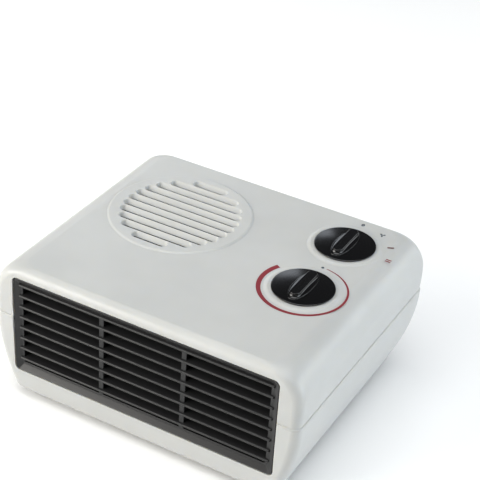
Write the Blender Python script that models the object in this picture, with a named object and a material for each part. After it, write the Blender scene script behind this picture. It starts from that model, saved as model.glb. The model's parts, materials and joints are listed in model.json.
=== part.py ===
"""Flat fan convector heater, as an assembly of separate pieces.

Two casing shells meet at a level seam. Air enters through round slots in the top, passes a
centrifugal fan with a vertical shaft and a shaded-pole motor under it, crosses two corrugated
heating ribbons in a mica frame and leaves through the front grille. Two rotary controls stand on
the right: the function switch at the back and the room thermostat at the front.

Frame: origin at the middle of the footprint on the ground, +X to the right seen from the front,
+Y to the back, +Z up. Sizes below are millimetres; meshes are made in metres.
"""
import math

import bmesh
import bpy
from mathutils import Matrix, Vector

MM = 0.001
GAP = 0.3                      # play between neighbouring pieces
WELD_DISTANCE = 0.000004       # metres

# Casing
HALF_WIDTH = 125.0
HALF_DEPTH = 103.0
TOP = 115.0                    # flat top face
SEAM = 71.0                    # level where the two shells meet
BASE = 4.0                     # underside of the lower shell
WALL = 2.5
SEAM_CORNER = 7.0              # plan corner radius where the shells meet
TOP_CORNER = 14.0              # and at the flat top face
SIDE_ROUNDING = 22.5           # top edge, left and right
FRONT_ROUNDING = 7.5           # top edge, front and back
DRAFT = 0.6                    # upper shell, seam to top
BELLY_RADIUS = 138.0           # lower shell, curve of its sides and back
FRONT_DRAFT = 1.5              # lower shell, front
FLOOR_ROUNDING = 8.0
LIP = 3.0                      # tongue of the lower shell inside the upper one
TONGUE = 1.5                   # thickness of that tongue

# Round air intake in the top
INTAKE = Vector((-47.2, 25.7))
INTAKE_RADIUS = 55.0
INTAKE_RISE = 1.0
SLOT_CIRCLE = 46.6
SLOT_COUNT = 11
SLOT_PITCH = 8.77
SLOT_WIDTH = 3.6
VENTS = (-34.0, -24.0, -14.0, 14.0, 24.0, 34.0)    # floor slots, in x from the intake's axis

# Controls
SWITCH = Vector((76.0, 57.0))
THERMOSTAT = Vector((76.0, -10.0))
PLATFORM_RADIUS = 27.0
PLATFORM_RISE = 0.8
WELL_RADIUS = 18.0
WELL_FLOOR = TOP - 3.0
PAD_BOTTOM = TOP - 6.0
KNOB_RADIUS = 23.0
KNOB_TOP = TOP + 6.0
SPINDLE_RADIUS = 3.0
SPINDLE_TOP = TOP + 2.2
CONTROL_SCREW_SPREAD = 12.0

# Front grille
GRILLE_HALF = 108.0
GRILLE_TOP = 106.4
GRILLE_BOTTOM = 24.6
GRILLE_FRONT = -(HALF_DEPTH - 1.0)
GRILLE_DEPTH = 11.0
GRILLE_BAND = 7.0              # width of its frame
GRILLE_CORNER = 4.0
SLAT_COUNT = 8
SLAT_PITCH = 9.2
SLAT_TOP = 103.0               # the top one is half sunk in the frame
SLAT_TILT = 22.0               # degrees, rising to the back
THICK_BAR_SET_BACK = 2.2

# Fan and motor, on the intake's axis
IMPELLER_RADIUS = 40.0
IMPELLER_BOTTOM = 55.0
IMPELLER_TOP = 99.0
BLADE_COUNT = 20
SHAFT_RADIUS = 2.0
SCROLL_FLOOR = 50.0
SCROLL_TOP = 106.0
SCROLL_WALL = 2.0
SCROLL_MOUTH = -60.0
DUCT_LEFT = -93.0
DUCT_RIGHT = 7.0
STACK_BOTTOM = 18.3
STACK_TOP = 38.3
MOTOR_SCREW_SPREAD = 17.0

# Heater element
HEATER_FRONT = -88.0
HEATER_BACK = -62.0
HEATER_BOTTOM = 48.0
RIBBON_Y = -75.0
RUN_SPACING = 8.5
RUN_HEIGHT = 5.0
HEATER_RIBS = (-64.0, -22.0)   # x of the floor ribs under the heater's frame

# Screws, posts and feet
CASE_SCREWS = [(sx * 98.5, sy * 76.0) for sx in (-1, 1) for sy in (-1, 1)]
BOSS_SPLIT = 44.0              # level where the lower and upper screw bosses meet
SCROLL_POSTS = [(-11.1, 61.8), (-84.0, 62.5), (7.5, -42.0)]
FEET = [(sx * 70.0, sy * 66.0) for sx in (-1, 1) for sy in (-1, 1)]
GLAND = Vector((62.0, 22.0))   # x and z of the cord inlet in the back wall
TERMINALS = Vector((44.0, 52.0))


# ---------------------------------------------------------------- helpers

def clear_scene():
    for old in list(bpy.data.objects):
        bpy.data.objects.remove(old, do_unlink=True)


def material(name, colour, roughness, metallic=0.0):
    made = bpy.data.materials.get(name)
    if made is None:
        made = bpy.data.materials.new(name)
        made.use_nodes = True
        shader = made.node_tree.nodes["Principled BSDF"]
        shader.inputs["Base Color"].default_value = (*colour, 1.0)
        shader.inputs["Roughness"].default_value = roughness
        shader.inputs["Metallic"].default_value = metallic
    return made


def casing_plastic():
    return material("casing_plastic", (0.66, 0.66, 0.63), 0.45)


def black_plastic():
    return material("black_plastic", (0.012, 0.012, 0.013), 0.25)


def brown_plastic():
    return material("brown_plastic", (0.10, 0.06, 0.04), 0.5)


def clear_grey_plastic():
    return material("grey_plastic", (0.25, 0.26, 0.27), 0.5)


def steel():
    return material("steel", (0.55, 0.56, 0.57), 0.35, 1.0)


def lamination_steel():
    return material("lamination_steel", (0.22, 0.22, 0.23), 0.5, 0.9)


def copper():
    return material("copper", (0.75, 0.32, 0.16), 0.35, 0.9)


def bronze():
    return material("bronze", (0.55, 0.38, 0.18), 0.4, 0.9)


def mica():
    return material("mica", (0.62, 0.54, 0.40), 0.6)


def nichrome():
    return material("nichrome", (0.38, 0.36, 0.35), 0.4, 1.0)


def rubber():
    return material("rubber", (0.03, 0.03, 0.03), 0.8)


def add_object(name, mesh, finish=None):
    made = bpy.data.objects.new(name, mesh)
    bpy.context.scene.collection.objects.link(made)
    if finish is not None:
        made.data.materials.append(finish)
    return made


def solid(name, points, faces, finish=None):
    """Closed mesh from points in millimetres, with its faces turned outwards."""
    mesh = bpy.data.meshes.new(name)
    mesh.from_pydata([Vector(p) * MM for p in points], [], faces)
    work = bmesh.new()
    work.from_mesh(mesh)
    bmesh.ops.recalc_face_normals(work, faces=work.faces)
    work.to_mesh(mesh)
    work.free()
    return add_object(name, mesh, finish)


def loft(name, rings, finish=None):
    """Skin over rings of equal length, closed by a flat face at each end."""
    count = len(rings[0])
    points = [point for ring in rings for point in ring]
    faces = [list(range(count))[::-1]]
    for level in range(len(rings) - 1):
        low = level * count
        high = low + count
        for i in range(count):
            j = (i + 1) % count
            faces.append([low + i, low + j, high + j, high + i])
    last = (len(rings) - 1) * count
    faces.append([last + i for i in range(count)])
    return solid(name, points, faces, finish)


def prism(name, outline, low, high, finish=None, axis="Z"):
    """Outline pushed along an axis: (x, y) along Z, (x, z) along Y or (y, z) along X."""
    places = {
        "Z": lambda a, b, c: (a, b, c),
        "Y": lambda a, b, c: (a, c, b),
        "X": lambda a, b, c: (c, a, b),
    }
    place = places[axis]
    rings = [[place(a, b, level) for a, b in outline] for level in (low, high)]
    return loft(name, rings, finish)


def box(name, low, high, finish=None):
    corners = [(low[0], low[1]), (high[0], low[1]), (high[0], high[1]), (low[0], high[1])]
    return prism(name, corners, low[2], high[2], finish)


def turned(name, profile, centre, segments, finish=None, axis="Z"):
    """Profile of (radius, height) points spun once round an axis through the centre."""
    points = []
    rows = []
    for radius, height in profile:
        if radius == 0.0:
            rows.append([len(points)])
            points.append((0.0, 0.0, height))
            continue
        rows.append(list(range(len(points), len(points) + segments)))
        for step in range(segments):
            angle = math.tau * step / segments
            points.append((radius * math.cos(angle), radius * math.sin(angle), height))
    faces = []
    for row, following in zip(rows, rows[1:] + rows[:1]):
        if len(row) == 1 and len(following) == 1:
            continue
        for step in range(segments):
            after = (step + 1) % segments
            if len(row) == 1:
                faces.append([row[0], following[after], following[step]])
            elif len(following) == 1:
                faces.append([row[step], row[after], following[0]])
            else:
                faces.append([row[step], row[after], following[after], following[step]])
    made = solid(name, points, faces, finish)
    turns = {
        "Z": Matrix.Identity(4),
        "Y": Matrix.Rotation(math.radians(-90), 4, "X"),
        "X": Matrix.Rotation(math.radians(90), 4, "Y"),
    }
    made.data.transform(turns[axis])
    made.location = Vector(centre) * MM
    return made


def cylinder(name, centre, radius, low, high, segments=12, finish=None, axis="Z"):
    """Solid round bar; low and high are measured along its axis from the centre."""
    profile = [(0.0, low), (radius, low), (radius, high), (0.0, high)]
    return turned(name, profile, centre, segments, finish, axis)


def tube(name, centre, inner, outer, low, high, segments=14, finish=None):
    profile = [(inner, low), (outer, low), (outer, high), (inner, high)]
    return turned(name, profile, centre, segments, finish)


def weld(mesh):
    """Join points that a Boolean left within a few micrometres of each other."""
    work = bmesh.new()
    work.from_mesh(mesh)
    bmesh.ops.remove_doubles(work, verts=work.verts, dist=WELD_DISTANCE)
    bmesh.ops.dissolve_degenerate(work, edges=work.edges, dist=WELD_DISTANCE)
    work.to_mesh(mesh)
    work.free()


def combine(target, tools, operation):
    """Boolean of the target with each tool in turn; the tools are used up."""
    for tool in tools:
        step = target.modifiers.new(operation.lower(), "BOOLEAN")
        step.object = tool
        step.operation = operation
        step.solver = "EXACT"
        view = bpy.context.evaluated_depsgraph_get()
        result = bpy.data.meshes.new_from_object(target.evaluated_get(view))
        weld(result)
        target.modifiers.clear()
        target.data = result
        bpy.data.objects.remove(tool, do_unlink=True)
    return target


def join(target, *tools):
    return combine(target, tools, "UNION")


def cut(target, *tools):
    return combine(target, tools, "DIFFERENCE")


def rounded_outline(x0, x1, y0, y1, radius, steps=3):
    """Rectangle with rounded corners, anticlockwise."""
    centres = [(x1 - radius, y1 - radius), (x0 + radius, y1 - radius),
               (x0 + radius, y0 + radius), (x1 - radius, y0 + radius)]
    points = []
    for quarter, (cx, cy) in enumerate(centres):
        for step in range(steps + 1):
            angle = math.radians(90 * quarter + 90 * step / steps)
            points.append((cx + radius * math.cos(angle), cy + radius * math.sin(angle)))
    return points


def capsule(cx, cy, half_length, half_width, steps=3):
    """Long slot along X with round ends."""
    reach = half_length - half_width
    points = []
    for end, start in ((1, -90), (-1, 90)):
        for step in range(steps + 1):
            angle = math.radians(start + 180 * step / steps)
            x = cx + end * reach + half_width * math.cos(angle)
            points.append((x, cy + half_width * math.sin(angle)))
    return points


# ---------------------------------------------------------------- casing

def edge_inset(depth, radius):
    """How far a quarter-round edge stands in, at a depth from its flat face."""
    if depth >= radius:
        return 0.0
    return radius - math.sqrt(radius ** 2 - (radius - depth) ** 2)


def upper_ring(depth, offset):
    """Level of the upper shell, at a depth under its top face, offset inwards."""
    z = TOP - offset - depth
    draft = DRAFT * (z - SEAM) / (TOP - SEAM)
    half_x = HALF_WIDTH - offset - draft - edge_inset(depth, SIDE_ROUNDING - offset)
    half_y = HALF_DEPTH - offset - draft - edge_inset(depth, FRONT_ROUNDING - offset)
    closed = (TOP_CORNER - SEAM_CORNER) * math.sqrt(min(depth / SIDE_ROUNDING, 1.0))
    outline = rounded_outline(-half_x, half_x, -half_y, half_y, TOP_CORNER - closed - offset)
    return [(x, y, z) for x, y in outline]


def rounding_depths(radius, steps):
    return [radius * (1 - math.cos(math.radians(90 * i / steps))) for i in range(steps + 1)]


def lower_ring(z, offset):
    """Level of the lower shell, offset inwards; above the seam its tongue stands straight."""
    depth = z - BASE
    drop = max(0.0, SEAM - max(z, BASE + FLOOR_ROUNDING))
    belly = BELLY_RADIUS - math.sqrt(BELLY_RADIUS ** 2 - drop ** 2)
    corner = 0.0
    if depth < 2 * FLOOR_ROUNDING:
        corner = edge_inset(max(depth - offset, 0.0), FLOOR_ROUNDING - offset)
    half_x = HALF_WIDTH - offset - belly - corner
    back = HALF_DEPTH - offset - belly - corner
    front = HALF_DEPTH - offset - corner - FRONT_DRAFT * drop / (SEAM - BASE)
    outline = rounded_outline(-half_x, half_x, -front, back, max(SEAM_CORNER - offset, 3.0))
    return [(x, y, z) for x, y in outline]


def outlet_cutter():
    half = GRILLE_HALF + GAP
    outline = rounded_outline(-half, half, GRILLE_BOTTOM - GAP, GRILLE_TOP + GAP, GRILLE_CORNER + GAP)
    return prism("outlet_cutter", outline, -HALF_DEPTH - 10, GRILLE_FRONT + GRILLE_DEPTH, axis="Y")


def raised_disc(name, centre, radius, rise):
    """Low round platform on the top face, with a softened edge."""
    profile = [(0.0, TOP - 1.2), (radius, TOP - 1.2), (radius, TOP + 0.2 * rise),
               (radius - rise, TOP + rise), (0.0, TOP + rise)]
    return turned(name, profile, (*centre, 0), 36)


def control_seat(cover, centre):
    """Platform, screw well and spindle hole under one knob."""
    pad = cylinder("pad", (*centre, 0), WELL_RADIUS + 3, PAD_BOTTOM, TOP - 1.0, 20)
    join(cover, raised_disc("platform", centre, PLATFORM_RADIUS, PLATFORM_RISE), pad)
    cut(cover, cylinder("well", (*centre, 0), WELL_RADIUS, WELL_FLOOR, TOP + 5, 20))
    cut(cover, cylinder("hole", (*centre, 0), SPINDLE_RADIUS + 1, PAD_BOTTOM - 3, TOP, 12))
    for side in (-1, 1):
        place = (centre.x + side * CONTROL_SCREW_SPREAD, centre.y, 0)
        cut(cover, cylinder("screw_hole", place, 1.8, PAD_BOTTOM - 3, TOP, 8))


def make_top_cover():
    depths = sorted(set(rounding_depths(SIDE_ROUNDING, 4) + rounding_depths(FRONT_ROUNDING, 2)[1:]))
    outer = [upper_ring(depth, 0.0) for depth in depths + [TOP - SEAM - GAP / 2]]
    inner_depths = rounding_depths(SIDE_ROUNDING - WALL, 3) + [TOP - WALL - SEAM - GAP / 2]
    inner = [upper_ring(depth, WALL) for depth in inner_depths]
    cover = loft("top_cover", inner + outer[::-1], casing_plastic())
    join(cover, raised_disc("plateau", INTAKE, INTAKE_RADIUS, INTAKE_RISE))
    for x, y in CASE_SCREWS:
        join(cover, cylinder("boss", (x, y, 0), 4.0, BOSS_SPLIT + GAP, TOP - 1.2, 10))
        cut(cover, cylinder("pilot", (x, y, 0), 2.0, BOSS_SPLIT - 2, BOSS_SPLIT + 24, 8))
    for centre in (SWITCH, THERMOSTAT):
        control_seat(cover, centre)
    cut(cover, outlet_cutter())
    for row in range(SLOT_COUNT):
        across = (row - (SLOT_COUNT - 1) / 2) * SLOT_PITCH
        reach = math.sqrt(SLOT_CIRCLE ** 2 - across ** 2)
        outline = capsule(INTAKE.x, INTAKE.y + across, reach, SLOT_WIDTH / 2)
        cut(cover, prism("slot", outline, TOP - 6, TOP + 4))
    return cover


def lower_posts(cover):
    for x, y in CASE_SCREWS:
        join(cover, cylinder("boss", (x, y, 0), 5.0, BASE + 2, BOSS_SPLIT, 12))
        cut(cover, cylinder("bore", (x, y, 0), 3.4, 0.0, BOSS_SPLIT - 6, 10))
        cut(cover, cylinder("hole", (x, y, 0), 2.0, 0.0, BOSS_SPLIT + 4, 8))
    for side in (-1, 1):
        place = (INTAKE.x, INTAKE.y + side * MOTOR_SCREW_SPREAD, 0)
        join(cover, cylinder("motor_post", place, 4.5, BASE + 1, 15.7, 10))
        cut(cover, cylinder("motor_pilot", place, 1.9, BASE + 3.5, 20, 8))
    for x, y in SCROLL_POSTS:
        join(cover, cylinder("scroll_post", (x, y, 0), 4.0, BASE + 1, SCROLL_FLOOR - GAP, 10))
        cut(cover, cylinder("scroll_pilot", (x, y, 0), 1.7, SCROLL_FLOOR - 14, SCROLL_FLOOR + 5, 8))
    for x in HEATER_RIBS:
        low = (x - 1.5, HEATER_FRONT + 2, BASE + 1)
        high = (x + 1.5, HEATER_BACK, HEATER_BOTTOM - GAP)
        join(cover, box("heater_rib", low, high))
    join(cover, cylinder("terminal_post", (*TERMINALS, 0), 4.0, BASE + 1, 13.7, 10))
    cut(cover, cylinder("terminal_pilot", (*TERMINALS, 0), 1.6, BASE + 3.5, 20, 8))


def make_bottom_cover():
    depths = rounding_depths(FLOOR_ROUNDING, 3)
    levels = [BASE + depth for depth in depths] + [26.0, 41.0, 56.0, SEAM - GAP / 2]
    rings = [lower_ring(z, 0.0) for z in levels]
    tongue = WALL + GAP + 0.1
    rings.append(lower_ring(SEAM - GAP / 2, tongue))
    rings.append(lower_ring(SEAM + LIP, tongue))
    rings.append(lower_ring(SEAM + LIP, tongue + TONGUE))
    rings.append(lower_ring(SEAM - 5, tongue + TONGUE))
    inner_levels = [SEAM - 8, 41.0, 26.0, BASE + FLOOR_ROUNDING]
    inner_levels += [BASE + WALL + depth for depth in rounding_depths(FLOOR_ROUNDING - WALL, 2)[1::-1]]
    rings += [lower_ring(z, WALL) for z in inner_levels]
    cover = loft("bottom_cover", rings, casing_plastic())
    lower_posts(cover)
    cut(cover, outlet_cutter())
    for x, y in FEET:
        cut(cover, cylinder("foot_hole", (x, y, 0), 3.0, 0.0, BASE + 6, 10))
    for offset in VENTS:
        outline = [(y, x) for x, y in capsule(INTAKE.y, INTAKE.x + offset, 15.0, 1.6, 2)]
        cut(cover, prism("vent", outline[::-1], 0.0, BASE + 6))
    inlet = (GLAND.x, HALF_DEPTH, GLAND.y)
    join(cover, cylinder("inlet_seat", inlet, 11.0, -18, -5, 16, axis="Y"))
    cut(cover, cylinder("inlet_hole", inlet, 7.3, -25, 10, 14, axis="Y"))
    return cover


def make_feet():
    profile = [(0.0, 0.0), (7.2, 0.0), (8.0, 0.8), (8.0, BASE - GAP), (2.7, BASE - GAP),
               (2.7, BASE + WALL + GAP), (3.6, BASE + WALL + 0.5), (2.4, BASE + WALL + 2.5),
               (0.0, BASE + WALL + 2.5)]
    for number, (x, y) in enumerate(FEET, 1):
        turned(f"foot_{number}", profile, (x, y, 0), 14, rubber())


def make_screw(name, x, y, head, tip, radius=1.6, head_radius=3.0, head_height=2.4, down=True):
    """Screw along Z with its head's bearing face at one height and its tip at another."""
    end = head + head_height if down else head - head_height
    rim = end - 0.6 if down else end + 0.6
    profile = [(0.0, tip), (radius, tip), (radius, head), (head_radius, head),
               (head_radius, rim), (head_radius - 0.8, end), (0.0, end)]
    return turned(name, profile, (x, y, 0), 8, steel())


def make_case_screws():
    for number, (x, y) in enumerate(CASE_SCREWS, 1):
        make_screw(f"case_screw_{number}", x, y, BOSS_SPLIT - 6 - GAP, BOSS_SPLIT + 18, down=False)


# ---------------------------------------------------------------- grille

def grille_bar(x, half_width, front):
    back = GRILLE_FRONT + GRILLE_DEPTH - 0.5
    return box("bar", (x - half_width, front, GRILLE_BOTTOM + 2), (x + half_width, back, GRILLE_TOP - 2))


def grille_slat(z, half):
    tilt = math.radians(SLAT_TILT)
    middle = GRILLE_FRONT + 0.5 * GRILLE_DEPTH
    outline = []
    for along, across in ((-4.9, -0.9), (4.6, -0.9), (4.6, 0.9), (-4.9, 0.9)):
        y = middle + along * math.cos(tilt) - across * math.sin(tilt)
        outline.append((y, z - 2.0 + along * math.sin(tilt) + across * math.cos(tilt)))
    return prism("slat", outline, -half - 2.5, half + 2.5, axis="X")


def make_front_grille():
    """Frame in three bays between two thick bars, with thin bars behind the slats."""
    back = GRILLE_FRONT + GRILLE_DEPTH
    outline = rounded_outline(-GRILLE_HALF, GRILLE_HALF, GRILLE_BOTTOM, GRILLE_TOP, GRILLE_CORNER)
    grille = prism("front_grille", outline, GRILLE_FRONT, back, black_plastic(), axis="Y")
    half = GRILLE_HALF - GRILLE_BAND
    hole = rounded_outline(-half, half, GRILLE_BOTTOM + GRILLE_BAND, GRILLE_TOP - GRILLE_BAND, 1.5, 2)
    cut(grille, prism("hole", hole, GRILLE_FRONT - 5, back + 5, axis="Y"))
    bay = 2 * half / 3
    for side in (-1, 1):
        join(grille, grille_bar(side * bay / 2, 2.0, GRILLE_FRONT + THICK_BAR_SET_BACK))
    for sixth in (-7, -5, -1, 1, 5, 7):
        join(grille, grille_bar(sixth * bay / 6, 0.8, back - 2.2))
    for row in range(SLAT_COUNT):
        join(grille, grille_slat(SLAT_TOP - row * SLAT_PITCH, half))
    return grille


# ---------------------------------------------------------------- controls

def signed_power(value, power):
    return math.copysign(abs(value) ** power, value)


def grip_ring(half_width, half_length, z, count=20):
    """Long level of the knob's grip: blunt ends, and wider in the middle."""
    ring = []
    for step in range(count):
        angle = math.tau * step / count
        y = half_length * signed_power(math.sin(angle), 0.55)
        waist = 1.0 - 0.28 * (y / half_length) ** 2
        x = half_width * waist * signed_power(math.cos(angle), 0.8)
        ring.append((x, y, z))
    return ring


def make_knob(name, centre):
    """Low domed disc with a grip across it, turning on the spindle's axis; its height is from TOP."""
    hub_bottom = WELL_FLOOR + 0.6 - TOP
    under = PLATFORM_RISE + GAP
    bore_top = SPINDLE_TOP + GAP - TOP
    profile = [(0.0, bore_top), (SPINDLE_RADIUS + GAP, bore_top), (SPINDLE_RADIUS + GAP, hub_bottom),
               (6.0, hub_bottom), (6.0, under), (KNOB_RADIUS, under),
               (KNOB_RADIUS, under + 0.5), (KNOB_RADIUS - 0.6, under + 0.9), (16.0, under + 1.6),
               (0.0, under + 2.3)]
    knob = turned(name, profile, (*centre, TOP), 40, black_plastic())
    top = KNOB_TOP - TOP
    grip = loft("grip", [
        grip_ring(8.8, 18.8, bore_top + 0.15), grip_ring(5.9, 17.6, 3.8),
        grip_ring(4.3, 16.8, top - 0.5), grip_ring(3.7, 16.2, top)])
    grip.location = knob.location
    return join(knob, grip)


def make_spindle(name, centre, bottom):
    return cylinder(name, (*centre, 0), SPINDLE_RADIUS, bottom, SPINDLE_TOP, 14, steel())


def make_switch():
    body = cylinder("switch_body", (*SWITCH, 0), 17.0, 84.0, PAD_BOTTOM - GAP, 20, brown_plastic())
    for angle in (0, 90, 180, 270):
        x = SWITCH.x + 9 * math.cos(math.radians(angle))
        y = SWITCH.y + 9 * math.sin(math.radians(angle))
        join(body, box("tab", (x - 3.1, y - 0.4, 76.0), (x + 3.1, y + 0.4, 85.0)))
    cut(body, cylinder("bore", (*SWITCH, 0), SPINDLE_RADIUS + GAP, 96.0, TOP, 14))
    for side in (-1, 1):
        place = (SWITCH.x + side * CONTROL_SCREW_SPREAD, SWITCH.y, 0)
        cut(body, cylinder("pilot", place, 1.8, 100.0, TOP, 8))
    make_spindle("switch_spindle", SWITCH, 96.0 + GAP)
    return body


def make_thermostat():
    x, y = THERMOSTAT
    top = PAD_BOTTOM - GAP
    body = box("thermostat_body", (x - 16, y - 11, top - 1.5), (x + 16, y + 11, top), brown_plastic())
    join(body, box("block", (x - 8, y - 8, 92.0), (x + 8, y + 8, top - 0.5)))
    join(body, box("stack", (x - 15.5, y - 7, 82.0), (x - 7.5, y + 7, top - 0.6)))
    for z in (85.4, 89.2):
        cut(body, box("slit", (x - 20, y - 4.3, z - 0.7), (x - 5, y + 4.3, z + 0.7)))
    cut(body, cylinder("bore", (x, y, 0), SPINDLE_RADIUS + GAP, 90.0, TOP, 14))
    for side in (-1, 1):
        cut(body, cylinder("pilot", (x + side * CONTROL_SCREW_SPREAD, y, 0), 1.8, 99.0, TOP, 8))
    blade = box("thermostat_bimetal_blade", (x - 19, y - 4, 88.8), (x + 17, y + 4, 89.6), copper())
    join(blade, cylinder("contact", (x + 13, y, 0), 2.0, 87.6, 89.2, 8))
    strip = box("thermostat_contact_blade", (x - 19, y - 4, 85.1), (x + 17, y + 4, 85.7), copper())
    join(strip, cylinder("contact", (x + 13, y, 0), 2.0, 85.4, 86.9, 8))
    make_spindle("thermostat_spindle", THERMOSTAT, 90.4)
    return body


def make_control_screws():
    for name, centre in (("switch_screw", SWITCH), ("thermostat_screw", THERMOSTAT)):
        for number, side in enumerate((-1, 1), 1):
            x = centre.x + side * CONTROL_SCREW_SPREAD
            make_screw(f"{name}_{number}", x, centre.y, WELL_FLOOR + GAP, 101.0, 1.4, 2.8, 1.8)


# ---------------------------------------------------------------- motor and fan

def make_stator():
    x, y = INTAKE
    stack = box("motor_stator", (x - 26, y - 21, STACK_BOTTOM), (x + 44, y + 21, STACK_TOP),
                lamination_steel())
    cut(stack, cylinder("bore", (x, y, 0), 13.0, 10, 50, 20))
    cut(stack, box("window", (x + 18, y - 9, 10), (x + 32, y + 9, 50)))
    for side in (-1, 1):
        cut(stack, box("notch", (x + 32, y + side * 21 - 12, 10), (x + 50, y + side * 21 + 12, 50)))
        place = (x, y + side * MOTOR_SCREW_SPREAD, 0)
        cut(stack, cylinder("hole", place, 1.9, 10, 50, 8))
    join(stack, box("leg", (x + 31, y - 10, STACK_BOTTOM), (x + 44, y + 10, STACK_TOP)))
    for side in (-1, 1):
        y0, y1 = sorted((y + side * 8.9, y + side * 20.9))
        join(stack, box("yoke", (x + 30, y0, STACK_BOTTOM), (x + 44, y1, STACK_TOP)))
    return stack


def make_coil():
    x, y = INTAKE
    coil = box("motor_coil", (x + 19, y - 8.5, 11.0), (x + 56, y + 8.5, 45.5), copper())
    low = (x + 31 - GAP, y - 12, STACK_BOTTOM - GAP)
    high = (x + 44 + GAP, y + 12, STACK_TOP + GAP)
    return cut(coil, box("core_hole", low, high))


def make_bracket(name, bar_low, bar_high, cup_low, cup_high, seat_low, seat_high, hole_high):
    """Flat bar with a bearing cup in its middle and a screw hole at each end."""
    x, y = INTAKE
    bar = box(name, (x - 7, y - 21, bar_low), (x + 7, y + 21, bar_high), steel())
    join(bar, cylinder("cup", (x, y, 0), 6.2, cup_low, cup_high, 14))
    cut(bar, cylinder("seat", (x, y, 0), 4.3, seat_low, seat_high, 14))
    if hole_high is not None:
        cut(bar, cylinder("eye", (x, y, 0), 2.6, seat_high - 1, hole_high, 10))
    for side in (-1, 1):
        place = (x, y + side * MOTOR_SCREW_SPREAD, 0)
        cut(bar, cylinder("hole", place, 1.9, bar_low - 2, bar_high + 2, 8))
    return bar


def make_motor():
    x, y = INTAKE
    make_stator()
    make_coil()
    make_bracket("motor_bracket_lower", 16.0, 18.0, 8.0, 17.0, 9.5, 19.0, None)
    make_bracket("motor_bracket_upper", 38.6, 40.6, 39.6, 48.3, 37.0, 47.0, 50.0)
    tube("bearing_lower", (x, y, 0), 2.3, 4.0, 9.8, 15.5, 14, bronze())
    tube("bearing_upper", (x, y, 0), 2.3, 4.0, 41.0, 46.7, 14, bronze())
    tube("motor_rotor", (x, y, 0), SHAFT_RADIUS + GAP, 12.2, 19.5, 37.5, 20, lamination_steel())
    cylinder("motor_shaft", (x, y, 0), SHAFT_RADIUS, 10.0, 73.0, 12, steel())
    for number, side in enumerate((-1, 1), 1):
        place = y + side * MOTOR_SCREW_SPREAD
        make_screw(f"motor_screw_{number}", x, place, 40.6 + GAP, 8.5, 1.5, 2.8)


def blade_outline(angle):
    """Forward-curved blade between two radii, seen along the shaft."""
    root, tip = 31.0, IMPELLER_RADIUS - 1.0
    half_thickness = 0.6
    outer = []
    inner = []
    for step in range(3):
        radius = root + (tip - root) * step / 2
        sweep = angle + 0.18 * (step / 2) ** 2
        for side, row in ((half_thickness, outer), (-half_thickness, inner)):
            turn = sweep + side / radius
            row.append((radius * math.cos(turn), radius * math.sin(turn)))
    return inner + outer[::-1]


def make_impeller():
    centre = (*INTAKE, 0)
    low = IMPELLER_BOTTOM
    bore = SHAFT_RADIUS + GAP
    profile = [(bore, low - 1.8), (7.0, low - 1.8), (7.0, low), (IMPELLER_RADIUS, low),
               (IMPELLER_RADIUS, low + 2), (12.0, low + 2), (7.0, low + 13), (bore, low + 13)]
    impeller = turned("fan_impeller", profile, centre, 32, clear_grey_plastic())
    for blade in range(BLADE_COUNT):
        outline = blade_outline(math.tau * (blade + 0.37) / BLADE_COUNT)
        piece = prism("blade", outline, low + 1, IMPELLER_TOP - 1)
        piece.location = impeller.location
        join(impeller, piece)
    return join(impeller, tube("ring", centre, 36.0, IMPELLER_RADIUS, IMPELLER_TOP - 2, IMPELLER_TOP, 32))


def scroll_outline(offset):
    """Spiral round the impeller, opening into a duct towards the front."""
    clearance = 3.0
    growth = INTAKE.x - DUCT_LEFT - IMPELLER_RADIUS - clearance
    start, end = -35, 180
    points = [(DUCT_RIGHT + offset, SCROLL_MOUTH - 10 + 5 * offset)]
    steps = 18
    for step in range(steps + 1):
        part = step / steps
        angle = math.radians(start + (end - start) * part)
        radius = IMPELLER_RADIUS + clearance + growth * part + offset
        points.append((INTAKE.x + radius * math.cos(angle), INTAKE.y + radius * math.sin(angle)))
    points.append((DUCT_LEFT - offset, SCROLL_MOUTH - 10 + 5 * offset))
    return points


def make_scroll():
    finish = clear_grey_plastic()
    scroll = prism("fan_scroll", scroll_outline(SCROLL_WALL), SCROLL_FLOOR, SCROLL_TOP, finish)
    cut(scroll, prism("hollow", scroll_outline(0.0), SCROLL_FLOOR + SCROLL_WALL, SCROLL_TOP + 5))
    cut(scroll, cylinder("eye", (*INTAKE, 0), 9.0, SCROLL_FLOOR - 5, SCROLL_FLOOR + 5, 16))
    for x, y in SCROLL_POSTS:
        join(scroll, cylinder("ear", (x, y, 0), 5.5, SCROLL_FLOOR + 0.1, SCROLL_FLOOR + 3, 10))
        cut(scroll, cylinder("ear_hole", (x, y, 0), 1.8, SCROLL_FLOOR - 5, SCROLL_FLOOR + 8, 8))
    for number, (x, y) in enumerate(SCROLL_POSTS, 1):
        make_screw(f"scroll_screw_{number}", x, y, SCROLL_FLOOR + 3 + GAP, SCROLL_FLOOR - 12, 1.3, 2.6, 2.0)
    return scroll


def make_fan():
    make_impeller()
    tube("fan_clip", (*INTAKE, 0), SHAFT_RADIUS + 0.2, 5.0, IMPELLER_BOTTOM + 13 + GAP,
         IMPELLER_BOTTOM + 14.2, 12, steel())
    make_scroll()


# ---------------------------------------------------------------- heater element

def run_heights():
    first = HEATER_BOTTOM + 8.0
    return [first + RUN_SPACING * number for number in range(6)]


def ribbon_outline():
    """Corrugated strip along X, with a flat tab at each end."""
    half = 1.2
    left, right = DUCT_LEFT + 1.6, DUCT_RIGHT - 1.6
    folds = 11
    start, stop = left + 5, right - 5
    path = [(left, RIBBON_Y), (start, RIBBON_Y)]
    for fold in range(folds):
        x = start + (stop - start) * (fold + 0.5) / folds
        path.append((x, RIBBON_Y + (5.0 if fold % 2 else -5.0)))
    path += [(stop, RIBBON_Y), (right, RIBBON_Y)]
    near = [(x, y - half) for x, y in path]
    far = [(x, y + half) for x, y in path]
    return near + far[::-1]


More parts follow.
